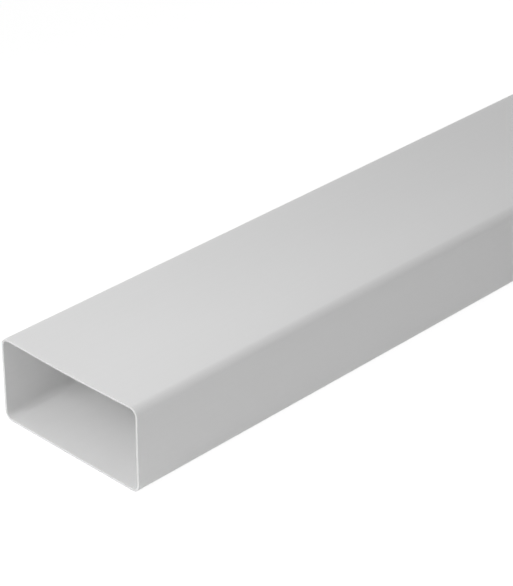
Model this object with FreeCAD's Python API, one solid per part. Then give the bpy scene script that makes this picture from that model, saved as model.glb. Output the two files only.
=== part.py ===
"""Flat channel duct: one straight length of thin-walled rectangular ventilation duct.

The duct is a single extrusion of rigid plastic. Its section is a rounded rectangle with the same wall all
round, so the inside and outside corners share their centres. Both ends are sawn square and deburred, and
the channel is open from end to end.

Frame: X along the duct, Y across its width, Z up. The origin is the middle of the underside.
Units: millimetres.
"""

import FreeCAD
import Part

import math
import os

# Driving dimensions
LENGTH = 1000.0  # end to end
WIDTH = 110.0  # outside, across the wide face
HEIGHT = 54.0  # outside, across the narrow face
WALL = 1.5  # wall thickness, the same all round
INSIDE_RADIUS = 4.0  # inside corner radius; the outside one is larger by the wall
EDGE_BREAK = 0.25  # deburring chamfer along both edges of each sawn end

# What follows from them
OUTSIDE_RADIUS = INSIDE_RADIUS + WALL
EDGE_BREAK_LIMIT = 0.4 * WALL  # leaves a flat strip of sawn end between the two chamfers
MIDDLE_HEIGHT = HEIGHT / 2
FIRST_END = -LENGTH / 2
ON_PLANE = 1e-6  # how near to an end's plane a point counts as on it


def section_wire(width, height, radius):
    """A closed rounded rectangle across the duct, in the plane of its first end.

    It runs round the section's middle: four straight sides joined by four quarter arcs.
    """
    side_y = width / 2 - radius
    side_z = height / 2 - radius
    corners = [(side_y, side_z), (-side_y, side_z), (-side_y, -side_z), (side_y, -side_z)]

    def point_on(corner, turn):
        """The point of a corner's circle at an angle from +Y."""
        centre_y, centre_z = corner
        return FreeCAD.Vector(
            FIRST_END,
            centre_y + radius * math.cos(turn),
            MIDDLE_HEIGHT + centre_z + radius * math.sin(turn),
        )

    quarter = math.pi / 2
    edges = []
    for index, corner in enumerate(corners):
        start = index * quarter
        end = start + quarter
        following = corners[(index + 1) % len(corners)]
        arc = Part.Arc(point_on(corner, start), point_on(corner, start + quarter / 2), point_on(corner, end))
        side = Part.LineSegment(point_on(corner, end), point_on(following, end))
        edges += [arc.toShape(), side.toShape()]
    return Part.Wire(edges)


def lies_on_end(edge):
    """True for an edge that borders one of the two sawn ends."""
    box = edge.BoundBox
    for end in (FIRST_END, FIRST_END + LENGTH):
        if abs(box.XMin - end) < ON_PLANE and abs(box.XMax - end) < ON_PLANE:
            return True
    return False


def make_duct():
    """The hollow section carried along the length, with the sharp edges of its sawn ends taken off."""
    outside = section_wire(WIDTH, HEIGHT, OUTSIDE_RADIUS)
    inside = section_wire(WIDTH - 2 * WALL, HEIGHT - 2 * WALL, INSIDE_RADIUS)
    section = Part.makeFace([outside, inside], "Part::FaceMakerBullseye")
    stock = section.extrude(FreeCAD.Vector(LENGTH, 0, 0))
    end_edges = [edge for edge in stock.Edges if lies_on_end(edge)]
    return stock.makeChamfer(min(EDGE_BREAK, EDGE_BREAK_LIMIT), end_edges)


def main():
    os.makedirs("parts", exist_ok=True)
    duct = make_duct()
    duct.exportStep(os.path.join("parts", "duct.step"))
    size = duct.BoundBox
    print(
        f"duct: valid {duct.isValid()}, solids {len(duct.Solids)}, faces {len(duct.Faces)}, "
        f"{size.XLength:.2f} x {size.YLength:.2f} x {size.ZLength:.2f} mm, {duct.Volume / 1000:.2f} cm3"
    )


main()
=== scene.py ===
# %% [markdown]
# # A length of flat channel duct
#
# The real thing is one length of rigid white plastic, pushed hot through a slot-shaped die, cooled in a
# calibrator that holds it square, and sawn off. The construction model already has its true section and
# length, so this lesson only dresses it: a finer skin, the plastic's finish, and a studio to see it in.
# The frame comes first, because every size below is taken from it.

# %% Load the frame
import math

import bpy
import numpy as np
from mathutils import Matrix, Vector


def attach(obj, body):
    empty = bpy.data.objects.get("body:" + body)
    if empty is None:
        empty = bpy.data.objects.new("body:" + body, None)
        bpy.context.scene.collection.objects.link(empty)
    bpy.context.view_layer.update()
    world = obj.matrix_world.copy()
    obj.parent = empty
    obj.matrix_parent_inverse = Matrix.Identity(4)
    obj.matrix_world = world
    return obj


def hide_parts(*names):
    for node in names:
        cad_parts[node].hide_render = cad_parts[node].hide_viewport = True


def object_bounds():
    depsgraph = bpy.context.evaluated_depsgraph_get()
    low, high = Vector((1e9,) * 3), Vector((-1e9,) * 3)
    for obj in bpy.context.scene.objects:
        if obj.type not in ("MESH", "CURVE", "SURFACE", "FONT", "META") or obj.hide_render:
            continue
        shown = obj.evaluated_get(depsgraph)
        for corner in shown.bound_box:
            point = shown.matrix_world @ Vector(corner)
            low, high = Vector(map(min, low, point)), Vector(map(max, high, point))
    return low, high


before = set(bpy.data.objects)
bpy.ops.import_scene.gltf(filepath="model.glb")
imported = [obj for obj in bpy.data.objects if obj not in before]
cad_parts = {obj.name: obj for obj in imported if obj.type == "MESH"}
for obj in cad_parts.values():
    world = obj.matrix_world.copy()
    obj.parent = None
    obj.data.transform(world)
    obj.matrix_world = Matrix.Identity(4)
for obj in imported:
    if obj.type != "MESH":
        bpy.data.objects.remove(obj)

cad_low, cad_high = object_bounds()
LENGTH, WIDTH, HEIGHT = cad_high - cad_low
print(f"frame: {LENGTH:.3f} x {WIDTH:.3f} x {HEIGHT:.3f} m, nodes {sorted(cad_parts)}")

# %% [markdown]
# ## The section
#
# Seen from its end, the duct is a rounded rectangle. It could be a rectangle with bevelled corners, but a
# formula keeps both walls exact: take the small rectangle through the four corner centres, and stand off
# from it along the outward normal. Standing off by the corner radius gives the outside, and by the wall
# less gives the inside, with the same centres. Long flat walls of thin plastic never cool quite flat:
# they draw in a little, most at mid span, as a plate held along both edges does. The underside is the
# wall that the duct lies on, and it stays flat.

# %% Walk round the section
WALL = 0.0015
CORNER_RADIUS = 0.0055
ARC_STEPS = 20
WIDE_STEPS = 44
NARROW_STEPS = 22
TOP_SAG = 0.0007
SIDE_SAG = 0.0001
UNDERSIDE_SAG = 0.0


def section_loop():
    """Points round the section, as three arrays: core points, outward normals and how far the wall draws in.

    The core is the rectangle through the corner centres. Each quarter of the loop is an arc, where the core
    point stays at its corner while the normal turns a quarter turn, and then a side, where the normal stays
    while the core point goes on to the next corner. A side of half-length 1 draws in by sag * (1 - s^2)^2.
    """
    half = np.array([WIDTH / 2 - CORNER_RADIUS, HEIGHT / 2 - CORNER_RADIUS])
    corners = half * np.array([(1, 1), (-1, 1), (-1, -1), (1, -1)])
    sides = [
        (WIDE_STEPS, TOP_SAG),
        (NARROW_STEPS, SIDE_SAG),
        (WIDE_STEPS, UNDERSIDE_SAG),
        (NARROW_STEPS, SIDE_SAG),
    ]
    cores, turns, sags = [], [], []
    for quarter, (steps, sag) in enumerate(sides):
        arc = np.linspace(0, 1, ARC_STEPS + 1)
        along = np.linspace(0, 1, steps + 1)[1:-1, None]
        start, end = corners[quarter], corners[(quarter + 1) % len(corners)]
        cores += [np.broadcast_to(start, (len(arc), 2)), start + along * (end - start)]
        turns += [quarter + arc, np.full(len(along), quarter + 1.0)]
        sags += [np.zeros(len(arc)), sag * (1 - (2 * along[:, 0] - 1) ** 2) ** 2]
    angle = np.concatenate(turns) * math.pi / 2
    normals = np.stack([np.cos(angle), np.sin(angle)], axis=1)
    return np.concatenate(cores), normals, np.concatenate(sags)


core, normal, draw_in = section_loop()
print(f"section: {len(core)} points round, draws in by up to {draw_in.max() * 1000:.2f} mm")

# %% [markdown]
# ## The lengthwise loop
#
# A hollow duct has the same shape as a ring: go along the outside, over the far sawn end, back along the
# inside and over the near sawn end, and the path closes. So one closed path of two numbers, how far along
# and how deep in the wall, carries the whole section. At each end the sharp edges left by the saw are
# rounded over with a quarter arc, as a scraper leaves them, and closely spaced rows beside each arc keep
# the shading of the flat faces flat.

# %% Walk along the wall
LIP = 0.00025
LIP_STEPS = 5
END_ROWS = np.array([0.0, 0.0004, 0.0015, 0.005])
LENGTH_STEPS = 80
RIM_STEPS = 6


def wall_loop():
    """Pairs (along, depth) of the closed path through the wall, and how many of them are on each long skin.

    Depth is 0 on the outside and WALL on the inside. One half of the path is written: the outside from the
    near end to the far end, the far outer lip, the sawn rim and the far inner lip. Turned about the middle
    of the wall, by along -> -along and depth -> WALL - depth, it gives the other half.
    """
    end = LENGTH / 2
    edge_rows = end - LIP - END_ROWS
    middle_rows = np.linspace(-edge_rows[-1], edge_rows[-1], LENGTH_STEPS + 1)
    skin = np.concatenate([-edge_rows[:-1], middle_rows, edge_rows[-2::-1]])
    turn = np.linspace(0, math.pi / 2, LIP_STEPS + 1)[1:-1]
    rim = np.linspace(LIP, WALL - LIP, RIM_STEPS + 1)
    outside = np.stack([skin, np.zeros_like(skin)], axis=1)
    outer_lip = np.stack([end - LIP + LIP * np.sin(turn), LIP - LIP * np.cos(turn)], axis=1)
    sawn = np.stack([np.full_like(rim, end), rim], axis=1)
    inner_lip = np.stack([outer_lip[::-1, 0], WALL - outer_lip[::-1, 1]], axis=1)
    half = np.concatenate([outside, outer_lip, sawn, inner_lip])
    return np.concatenate([half, half * (-1, -1) + (0, WALL)]), len(outside)


path, skin_rows = wall_loop()
print(f"path: {len(path)} points, of which {skin_rows} on each long skin")

# %% [markdown]
# ## One skin from two loops
#
# The grid has a row for each point of the path and a column for each point of the section. A point stands
# on the section's core, off along the normal by the corner radius, less its depth in the wall, less what
# the wall draws in there. Both directions close on themselves, so the skin has no seam and no open edge,
# and the volume it encloses can be compared with length times section.

# %% Work out the duct's skin


def ring_faces(rows, columns):
    """Quads of a grid whose last row joins the first and whose last column joins the first."""
    index = np.arange(rows * columns).reshape(rows, columns)
    next_row = np.roll(index, -1, axis=0)
    next_column = np.roll(index, -1, axis=1)
    next_both = np.roll(next_row, -1, axis=1)
    return np.stack([index, next_column, next_both, next_row], axis=-1).reshape(-1, 4)


def skin_points():
    """Grid of points: x is the path's along, and (y, z) is core + normal * (radius - depth - draw-in)."""
    stand_off = CORNER_RADIUS - path[:, 1, None] - draw_in[None, :]
    across = core[None] + normal[None] * stand_off[..., None]
    along = np.broadcast_to(path[:, 0, None, None], (*stand_off.shape, 1))
    middle = np.array([0, 0, cad_low.z + HEIGHT / 2])
    return np.concatenate([along, across], axis=-1) + middle


def enclosed_volume(points, faces):
    """Sum over the quads of the tetrahedra to the origin: positive when the faces point outwards."""
    a, b, c, d = (points[faces[:, k]] for k in range(4))
    doubled = np.einsum("ij,ij->i", a, np.cross(b, c)) + np.einsum("ij,ij->i", a, np.cross(c, d))
    return doubled.sum() / 6


grid = skin_points()
points = grid.reshape(-1, 3)
faces = ring_faces(*grid.shape[:2])
print(f"skin: {len(faces)} quads round {enclosed_volume(points, faces) * 1e6:.1f} cm3 of plastic")

# %% [markdown]
# ## The mesh
#
# The real duct has two kinds of surface: the skin that the die left, and the faces that the saw cut. They
# could be two objects, but then the edge between them would have to be matched, so they are two finishes on
# one mesh, chosen row by row. The duct is the only piece: it rides on the root body and stands for the
# construction model's node.

# %% Put the skin in a mesh
SKIN_SLOT = 0
CUT_SLOT = 1


def cut_rows():
    """True for each row of quads past the end of a long skin: a sawn rim and its two scraped lips."""
    return np.arange(len(path)) % (len(path) // 2) >= skin_rows - 1


mesh = bpy.data.meshes.new("duct_skin")
mesh.from_pydata(points, [], faces)
finish_slot = np.where(cut_rows(), CUT_SLOT, SKIN_SLOT).repeat(len(core)).astype(np.int32)
mesh.polygons.foreach_set("material_index", finish_slot)
mesh.polygons.foreach_set("use_smooth", np.ones(len(faces), dtype=bool))
mesh.update()
duct_skin = bpy.data.objects.new("duct_skin", mesh)
bpy.context.scene.collection.objects.link(duct_skin)
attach(duct_skin, "root")
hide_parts("duct")
print(f"duct_skin: {len(mesh.polygons)} faces, {int((finish_slot == CUT_SLOT).sum())} of them cut")

# %% [markdown]
# ## Small tools for materials
#
# A finish is a net of nodes: noise gives a number at each point, and a few sums turn it into a tone, a sheen
# or a relief. They could be wired by hand for each finish, but the same few come back every time, so each is
# made by a small function.

# %% Small tools for materials
NOISE_LOW = 0.3
NOISE_HIGH = 0.7


def new_material(name):
    """An empty node material, with its node tree and its Principled shader joined to the output."""
    material = bpy.data.materials.new(name)
    material.use_nodes = True
    tree = material.node_tree
    tree.nodes.clear()
    output = tree.nodes.new("ShaderNodeOutputMaterial")
    shader = tree.nodes.new("ShaderNodeBsdfPrincipled")
    tree.links.new(shader.outputs["BSDF"], output.inputs["Surface"])
    return material, tree, shader


def noise(tree, repeats, detail):
    """Noise in Object coordinates that repeats so many times a metre along X, Y and Z."""
    place = tree.nodes.new("ShaderNodeTexCoord")
    scale = tree.nodes.new("ShaderNodeMapping")
    scale.inputs["Scale"].default_value = repeats
    texture = tree.nodes.new("ShaderNodeTexNoise")
    texture.inputs["Scale"].default_value = 1.0
    texture.inputs["Detail"].default_value = detail
    tree.links.new(place.outputs["Object"], scale.inputs["Vector"])
    tree.links.new(scale.outputs["Vector"], texture.inputs["Vector"])
    return texture.outputs["Fac"]


def spread(tree, value, low, high):
    """A noise's usual range carried to low and high and held there beyond it, so 0 gives low and 1 high."""
    node = tree.nodes.new("ShaderNodeMapRange")
    node.inputs["From Min"].default_value = NOISE_LOW
    node.inputs["From Max"].default_value = NOISE_HIGH
    node.inputs["To Min"].default_value = low
    node.inputs["To Max"].default_value = high
    tree.links.new(value, node.inputs["Value"])
    return node.outputs["Result"]


def add(tree, first, second):
    """The sum of two values."""
    node = tree.nodes.new("ShaderNodeMath")
    node.operation = "ADD"
    tree.links.new(first, node.inputs[0])
    tree.links.new(second, node.inputs[1])
    return node.outputs["Value"]


def grey(tree, value):
    """A neutral colour of that value."""
    node = tree.nodes.new("ShaderNodeCombineColor")
    for channel in ("Red", "Green", "Blue"):
        tree.links.new(value, node.inputs[channel])
    return node.outputs["Color"]


def bump(tree, metres):
    """The normal of a relief whose height is given in metres."""
    node = tree.nodes.new("ShaderNodeBump")
    node.inputs["Strength"].default_value = 1.0
    node.inputs["Distance"].default_value = 1.0
    tree.links.new(metres, node.inputs["Height"])
    return node.outputs["Normal"]


print(f"tools: noise from {NOISE_LOW} to {NOISE_HIGH} is spread over each finish's range")

# %% [markdown]
# ## The plastic's finish
#
# Extruded white plastic is pigmented through, with a satin skin. The die leaves faint lines that run the
# whole length, and cooling leaves a very fine orange peel. Both could be an image, but noise worked out
# from the piece's own coordinates stays sharp at any distance: squeezed along the length it gives lines,
# and left even it gives the peel. The lines barely change the colour and mostly change the sheen.

# %% The extruded skin
PIGMENT = 0.80
CLOUD = 0.006
CLOUD_REPEATS = (6, 14, 14)
STREAK = 0.004
STREAK_REPEATS = (0.6, 420, 420)
DIE_LINE_DEPTH = 0.0000028
PEEL_DEPTH = 0.0000012
PEEL_REPEATS = (2600, 2600, 2600)
SATIN = 0.42
SATIN_DRIFT = 0.04


def extruded_skin():
    """Satin white plastic with faint lines along the length and a fine orange peel."""
    material, tree, shader = new_material("white_pvc_skin")
    clouds = noise(tree, CLOUD_REPEATS, detail=2.0)
    streaks = noise(tree, STREAK_REPEATS, detail=3.0)
    peel = noise(tree, PEEL_REPEATS, detail=1.0)
    cloud_tone = spread(tree, clouds, PIGMENT - CLOUD, PIGMENT + CLOUD)
    tone = add(tree, cloud_tone, spread(tree, streaks, -STREAK, STREAK))
    sheen = spread(tree, streaks, SATIN - SATIN_DRIFT, SATIN + SATIN_DRIFT)
    relief = add(tree, spread(tree, streaks, 0.0, DIE_LINE_DEPTH), spread(tree, peel, 0.0, PEEL_DEPTH))
    tree.links.new(grey(tree, tone), shader.inputs["Base Color"])
    tree.links.new(sheen, shader.inputs["Roughness"])
    tree.links.new(bump(tree, relief), shader.inputs["Normal"])
    return material


duct_skin.data.materials.append(extruded_skin())
print(f"skin finish: pigment {PIGMENT}, satin {SATIN}, die lines {DIE_LINE_DEPTH * 1e6:.1f} microns deep")

# %% [markdown]
# ## The sawn ends
#
# A fine-toothed saw leaves the cut face duller than the skin. Its tone is set a little greyer than the skin
# as painted shade for the close lines where the teeth passed, and it dips further along those lines, as
# painted shade too. The lips that were scraped round look the same. On a rim 1.5 mm wide the lines read as a
# slight sparkle along the edge, so they are bump and painted shade in the tone only.

# %% The sawn rim
# The cut face's tone is the white plastic darkened by painted shade, and its drift along the saw lines is
# painted shade as well.
CUT_SHADED_TONE = 0.65
SAW_LINE_SHADE = 0.015
CUT_DULLNESS = 0.6
SAW_LINE_DEPTH = 0.000006
SAW_REPEATS = (200, 1500, 250)


def sawn_rim():
    """Duller plastic with close lines left by the saw, its tone lowered by painted shade, most along the
    lines.
    """
    material, tree, shader = new_material("white_pvc_cut")
    lines = noise(tree, SAW_REPEATS, detail=2.0)
    # Painted shade: the tone darkens along the saw lines.
    tone = spread(tree, lines, CUT_SHADED_TONE - SAW_LINE_SHADE, CUT_SHADED_TONE + SAW_LINE_SHADE)
    tree.links.new(grey(tree, tone), shader.inputs["Base Color"])
    shader.inputs["Roughness"].default_value = CUT_DULLNESS
    tree.links.new(bump(tree, spread(tree, lines, 0.0, SAW_LINE_DEPTH)), shader.inputs["Normal"])
    return material


duct_skin.data.materials.append(sawn_rim())
print(f"cut finish: tone darkened by painted shade {CUT_SHADED_TONE}, dullness {CUT_DULLNESS}")

# %% [markdown]
# ## The studio
#
# A plain white sweep under soft light shows a plain white object best. The floor is a wide pale sheet just
# under the duct. It passes light on as pale paper does. To the eye it glows almost white by itself, and
# the little light that it still returns leaves a barely visible shadow of the duct.

# %% The floor
FLOOR_HALF = 6.0
FLOOR_GAP = 0.0002
FLOOR_TONE = 0.95
FLOOR_GLOW = 0.9
SHADOW_TONE = 0.22
SEEN_BY = ("Is Camera Ray", "Is Glossy Ray", "Is Transmission Ray")


def seen_rays(tree):
    """1 for rays from the eye, off glossy pieces or through clear ones, and 0 for rays that only light."""
    rays = tree.nodes.new("ShaderNodeLightPath")
    camera_ray, glossy_ray, clear_ray = (rays.outputs[name] for name in SEEN_BY)
    return add(tree, add(tree, camera_ray, glossy_ray), clear_ray)


def floor_finish():
    """Matte paper: where it is seen glow + shadow tone * light, and where it only lights tone * light."""
    material, tree, shader = new_material("white_paper")
    seen = seen_rays(tree)
    tree.links.new(grey(tree, spread(tree, seen, FLOOR_TONE, SHADOW_TONE)), shader.inputs["Base Color"])
    tree.links.new(spread(tree, seen, 0.0, FLOOR_GLOW), shader.inputs["Emission Strength"])
    shader.inputs["Emission Color"].default_value = (1, 1, 1, 1)
    shader.inputs["Roughness"].default_value = 1.0
    shader.inputs["Specular IOR Level"].default_value = 0.0
    return material


floor_corners = FLOOR_HALF * np.array([(-1, -1, 0), (1, -1, 0), (1, 1, 0), (-1, 1, 0)])
floor_mesh = bpy.data.meshes.new("floor")
floor_mesh.from_pydata(floor_corners + (0, 0, cad_low.z - FLOOR_GAP), [], [(0, 1, 2, 3)])
floor = bpy.data.objects.new("floor", floor_mesh)
bpy.context.scene.collection.objects.link(floor)
floor.data.materials.append(floor_finish())
print(f"floor: {2 * FLOOR_HALF:.0f} m square, {FLOOR_GAP * 1000:.1f} mm under the duct")

# %% [markdown]
# ## The light
#
# Two softboxes look at the near open end: the key from straight in front, and the fill from one side, which
# models the long rounded edge. Their narrow beams make the duct brightest at that mouth, and it fades away
# along its length. A third looks at the far open end, so that the duct is well lit from behind too. The key
# and the back lamp stand in line with the duct, where a satin skin would flare for its whole length. A
# photographer stops that with polarising filters, and here the two are hidden from glossy rays.

# %% The softboxes
NEAR_MOUTH = Vector((-LENGTH / 2, 0.0, HEIGHT / 2))
FAR_MOUTH = Vector((LENGTH / 2, 0.0, HEIGHT / 2))
LAMP_BEAM = math.radians(60)


def soft_lamp(name, mouth, azimuth, elevation, away, size, watts):
    """A square softbox that looks at a mouth from so far away, at an azimuth and an elevation in degrees."""
    turn, rise = math.radians(azimuth), math.radians(elevation)
    towards = Vector((math.cos(turn) * math.cos(rise), math.sin(turn) * math.cos(rise), math.sin(rise)))
    data = bpy.data.lights.new(name, "AREA")
    data.shape = "SQUARE"
    data.size = size
    data.spread = LAMP_BEAM
    data.energy = watts
    lamp = bpy.data.objects.new(name, data)
    lamp.location = mouth + away * towards
    lamp.rotation_euler = towards.to_track_quat("Z", "Y").to_euler()
    bpy.context.scene.collection.objects.link(lamp)
    print(f"{name}: {watts} W at {tuple(round(v, 2) for v in lamp.location)}")
    return lamp


key = soft_lamp("key", NEAR_MOUTH, azimuth=180, elevation=34, away=0.65, size=0.6, watts=0.753)
back_lamp = soft_lamp("back", FAR_MOUTH, azimuth=0, elevation=46, away=0.5, size=0.4, watts=0.226)
soft_lamp("fill", NEAR_MOUTH, azimuth=110, elevation=34, away=0.75, size=0.6, watts=0.177)
key.visible_glossy = False
back_lamp.visible_glossy = False

# %% [markdown]
# ## The surround
#
# A pale surround lights the rest evenly. A picture taken from low down sees past the edge of the floor, so
# where the surround is seen it is as white as the floor: by the eye, and in the sheen of the plastic. The
# light that it sheds stays paler, because a white background shouldn't put more light on the object.

# %% The surround
SURROUND = 0.394
WHITE = 1.0

world = bpy.data.worlds.new("surround")
world.use_nodes = True
sky = world.node_tree
sky_strength = spread(sky, seen_rays(sky), SURROUND, WHITE)
sky.nodes["Background"].inputs["Color"].default_value = (1, 1, 1, 1)
sky.links.new(sky_strength, sky.nodes["Background"].inputs["Strength"])
bpy.context.scene.world = world
bpy.context.scene.view_settings.view_transform = "Standard"
print(f"surround: {SURROUND} where it lights, {WHITE} where it is seen")

# %% [markdown]
# ## The camera
#
# The photograph was taken from above and to one side of the open end, through a long lens, so the far end
# runs out of the picture. The angles and the place of the mouth come from the duct's own edges.

# %% The camera
AZIMUTH = math.radians(-45.92)
ELEVATION = math.radians(29.69)
ROLL = math.radians(0.09)
MOUTH_RIGHT = -0.10275
MOUTH_UP = -0.06645
MOUTH_AWAY = 1.31257
LENS = 147.17

level_back = Vector((math.sin(AZIMUTH), -math.cos(AZIMUTH), 0))
back = level_back * math.cos(ELEVATION) + Vector((0, 0, math.sin(ELEVATION)))
level_right = Vector((0, 0, 1)).cross(back).normalized()
level_up = back.cross(level_right)
right = level_right * math.cos(ROLL) + level_up * math.sin(ROLL)
up = level_up * math.cos(ROLL) - level_right * math.sin(ROLL)
eye = NEAR_MOUTH - MOUTH_RIGHT * right - MOUTH_UP * up + MOUTH_AWAY * back

camera_data = bpy.data.cameras.new("camera")
camera_data.lens = LENS
camera = bpy.data.objects.new("camera", camera_data)
camera.matrix_world = Matrix.Translation(eye) @ Matrix((right, up, back)).transposed().to_4x4()
bpy.context.scene.collection.objects.link(camera)
bpy.context.scene.camera = camera
print(f"camera: {LENS} mm lens at {tuple(round(v, 3) for v in eye)}")
